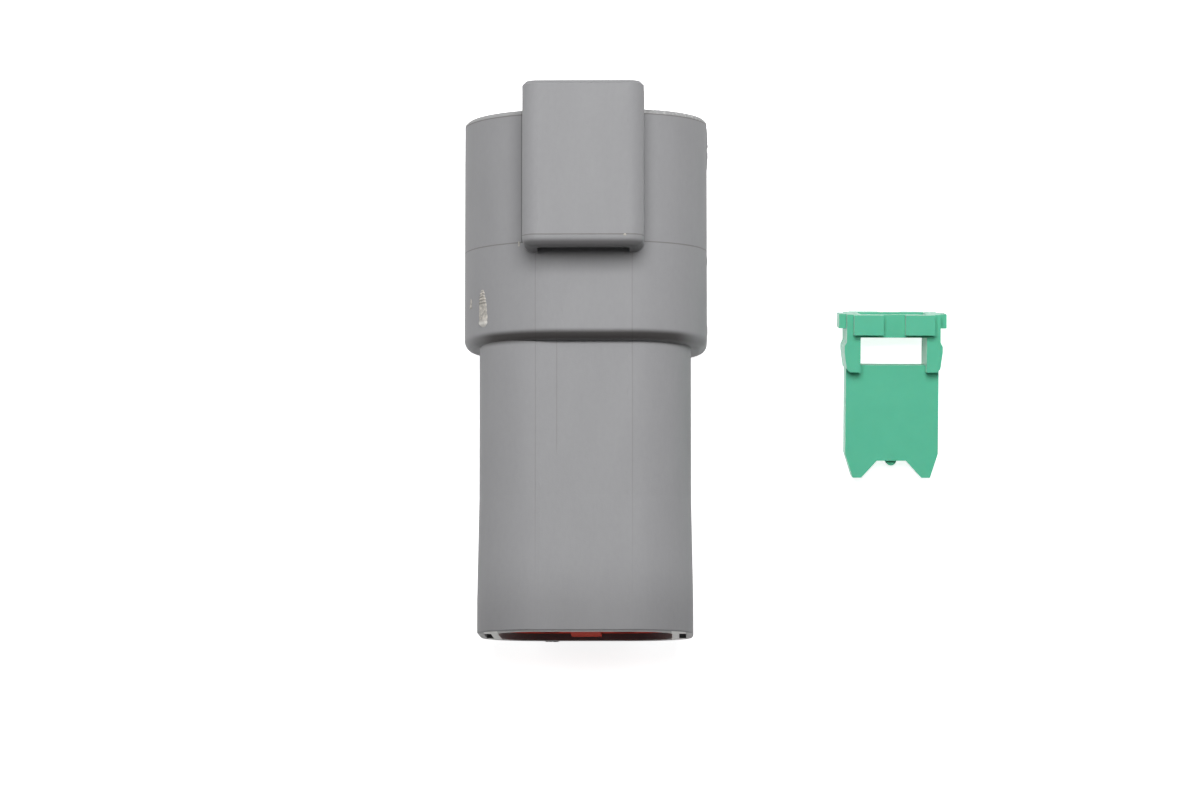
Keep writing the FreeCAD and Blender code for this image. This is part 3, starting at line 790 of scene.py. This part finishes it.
@dataclass(frozen=True)
class MouldingMarks:
    """What the moulding left on the housing: the torn gate, a scuff beside it, and some flash."""

    torn: tuple[TornMark, ...] = (
        TornMark("gate_mark", (-8.76, -3.68), 3.28, 0.74, 0.22, lean=0.12, ridges=5),
        TornMark("gate_scuff", (-9.82, -4.2), 0.95, 0.2, 0.06),
        TornMark("joint_chip", (-5.55, 0.15), 0.5, 0.16, 0.06),
        TornMark("lip_chip", (3.55, 0.05), 0.22, 0.3, 0.04),
    )
    flash: tuple[FlashFin, ...] = (
        FlashFin("rim_flash", (10.5, 11.3, 9.1), (10.5, 7.4, 9.1), (1, 0, 0), 0.14),
        FlashFin("joint_flash", (10.5, -0.15, 9.1), (10.5, -0.9, 9.1), (1, 0, 0), 0.09),
        FlashFin("shoulder_flash", (10.5, -6.1, 9.1), (10.5, -7.15, 9.1), (1, 0, 0), 0.09),
        FlashFin("end_flash", (-3.9, -33.08, 1.3), (-2.4, -33.08, 1.3), (0, -1, 0), 0.16),
    )

    def build(self, torn_material: bpy.types.Material, plain_material: bpy.types.Material) -> None:
        """Build every mark.

        Args:
            torn_material: The finish of torn plastic.
            plain_material: The housing's own finish.
        """
        housing = bmesh.new()
        housing.from_mesh(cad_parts["housing"].data)
        surface = BVHTree.FromBMesh(housing)
        housing.free()
        for mark in self.torn:
            mark.build(surface, torn_material)
        for fin in self.flash:
            fin.build(plain_material)


@dataclass(frozen=True)
class Connector:
    """The connector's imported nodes, each with the slot whose finish it takes."""

    nodes: tuple[tuple[str, Slot], ...] = (
        ("housing", Slot.HOUSING),
        ("rear_wire_seal", Slot.SEAL),
        ("wedge_lock", Slot.WEDGE),
        ("contact_pin_1", Slot.CONTACT),
        ("contact_pin_2", Slot.CONTACT),
        ("contact_pin_3", Slot.CONTACT),
        ("contact_pin_4", Slot.CONTACT),
    )

    def dress(self) -> None:
        """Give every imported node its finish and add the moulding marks."""
        finishes = {
            Slot.HOUSING: HousingFinish().build(),
            Slot.SEAL: SealFinish().build(),
            Slot.CONTACT: ContactFinish().build(),
            Slot.WEDGE: WedgeFinish().build(),
        }
        for name, slot in self.nodes:
            self.paint(name, finishes[slot])
        MouldingMarks().build(TornFinish().build(), finishes[Slot.HOUSING])

    def paint(self, name: str, material: bpy.types.Material) -> None:
        """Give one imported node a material.

        Args:
            name: The node's name.
            material: Its material.
        """
        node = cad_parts[name]
        node.data.materials.clear()
        node.data.materials.append(material)
        log.info("dressed %s with %s", name, material.name)


@dataclass(frozen=True)
class Lamp:
    """A square softbox, with its place and size in metres and its power in watts."""

    name: str
    place: tuple[float, float, float]
    size: float
    power: float


@dataclass(frozen=True)
class Studio:
    """A white table under soft lamps. Lengths are in metres."""

    table_half: float = 0.6
    table_grey: float = 0.9
    table_roughness: float = 0.9
    lift: float = 0.85
    lifted_for: tuple[str, ...] = ("Is Camera Ray", "Is Glossy Ray", "Is Transmission Ray")
    sky: float = 0.07
    aim: tuple[float, float, float] = (0.0, -0.01, 0.0)
    lamps: tuple[Lamp, ...] = (
        Lamp("key_lamp", (0.01, 0.05, 0.25), 0.12, 0.54),
        Lamp("left_lamp", (-0.32, 0.10, 0.16), 0.20, 0.24),
        Lamp("right_lamp", (0.32, 0.10, 0.16), 0.20, 0.19),
    )

    def build(self) -> None:
        """Add the table, the surroundings and the lamps."""
        self.add_table()
        self.add_world()
        for lamp in self.lamps:
            self.add_lamp(lamp)

    def add_table(self) -> None:
        """Add the matt, painted table. The camera and reflections see it as plain white."""
        mesh = bpy.data.meshes.new("table")
        grid = bmesh.new()
        bmesh.ops.create_grid(grid, x_segments=1, y_segments=1, size=self.table_half)
        grid.to_mesh(mesh)
        grid.free()
        table = bpy.data.objects.new("table", mesh)
        bpy.context.scene.collection.objects.link(table)
        graph = NodeGraph("table_white")
        rays = graph.add("LightPath", {}).outputs
        seen = graph.join(Join.ANY, *(rays[kind] for kind in self.lifted_for))
        graph.fill(graph.shader, {
            "Base Color": (self.table_grey, self.table_grey, self.table_grey, 1.0),
            "Roughness": self.table_roughness,
            "Emission Color": WHITE,
            "Emission Strength": graph.join(Join.ALL, seen, self.lift),
        })
        mesh.materials.append(graph.material)

    def add_world(self) -> None:
        """Surround the table with even white light."""
        world = bpy.data.worlds.new("surroundings")
        world.use_nodes = True
        background = world.node_tree.nodes["Background"]
        background.inputs["Color"].default_value = WHITE
        background.inputs["Strength"].default_value = self.sky
        bpy.context.scene.world = world

    def add_lamp(self, lamp: Lamp) -> None:
        """Add one lamp that faces the connector.

        Args:
            lamp: The lamp to add.
        """
        data = bpy.data.lights.new(lamp.name, "AREA")
        data.shape = "SQUARE"
        data.size = lamp.size
        data.energy = lamp.power
        holder = bpy.data.objects.new(lamp.name, data)
        holder.location = lamp.place
        facing = Vector(self.aim) - Vector(lamp.place)
        holder.rotation_euler = facing.to_track_quat("-Z", "Y").to_euler()
        bpy.context.scene.collection.objects.link(holder)
        log.info("lamp %s", lamp.name)


@dataclass(frozen=True)
class Viewpoint:
    """The photograph's camera. Lengths are in millimetres and angles in degrees."""

    aim: tuple[float, float, float] = (1.22, -12.63, 9.1)
    distance: float = 410.0
    view_width: float = 104.0
    tilt: float = 6.0
    swing: float = 1.0
    sensor: float = 36.0
    nearest: float = 10.0
    farthest: float = 10000.0

    def build(self) -> None:
        """Add the camera and make it the scene's."""
        tilt = math.radians(self.tilt)
        swing = math.radians(self.swing)
        level = math.cos(tilt)
        back = Vector((math.sin(swing) * level, -math.sin(tilt), math.cos(swing) * level))
        right = Vector((0, 1, 0)).cross(back).normalized()
        axes = Matrix((right, back.cross(right), back)).transposed()
        data = bpy.data.cameras.new("camera")
        data.sensor_width = self.sensor
        data.lens = self.sensor * self.distance / self.view_width
        data.clip_start, data.clip_end = mm(self.nearest, self.farthest)
        camera = bpy.data.objects.new("camera", data)
        place = Vector(mm(*self.aim)) + back * (self.distance * MM)
        camera.matrix_world = Matrix.Translation(place) @ axes.to_4x4()
        bpy.context.scene.collection.objects.link(camera)
        bpy.context.scene.camera = camera
        log.info("camera at %s", tuple(round(c, 4) for c in place))


def main() -> None:
    """Dress the connector and set the studio and the camera."""
    logging.basicConfig(level=logging.INFO, format="%(name)s: %(message)s")
    Viewpoint().build()
    Connector().dress()
    Studio().build()
    bpy.context.scene.view_settings.view_transform = "Standard"


if __name__ == "__main__":
    main()
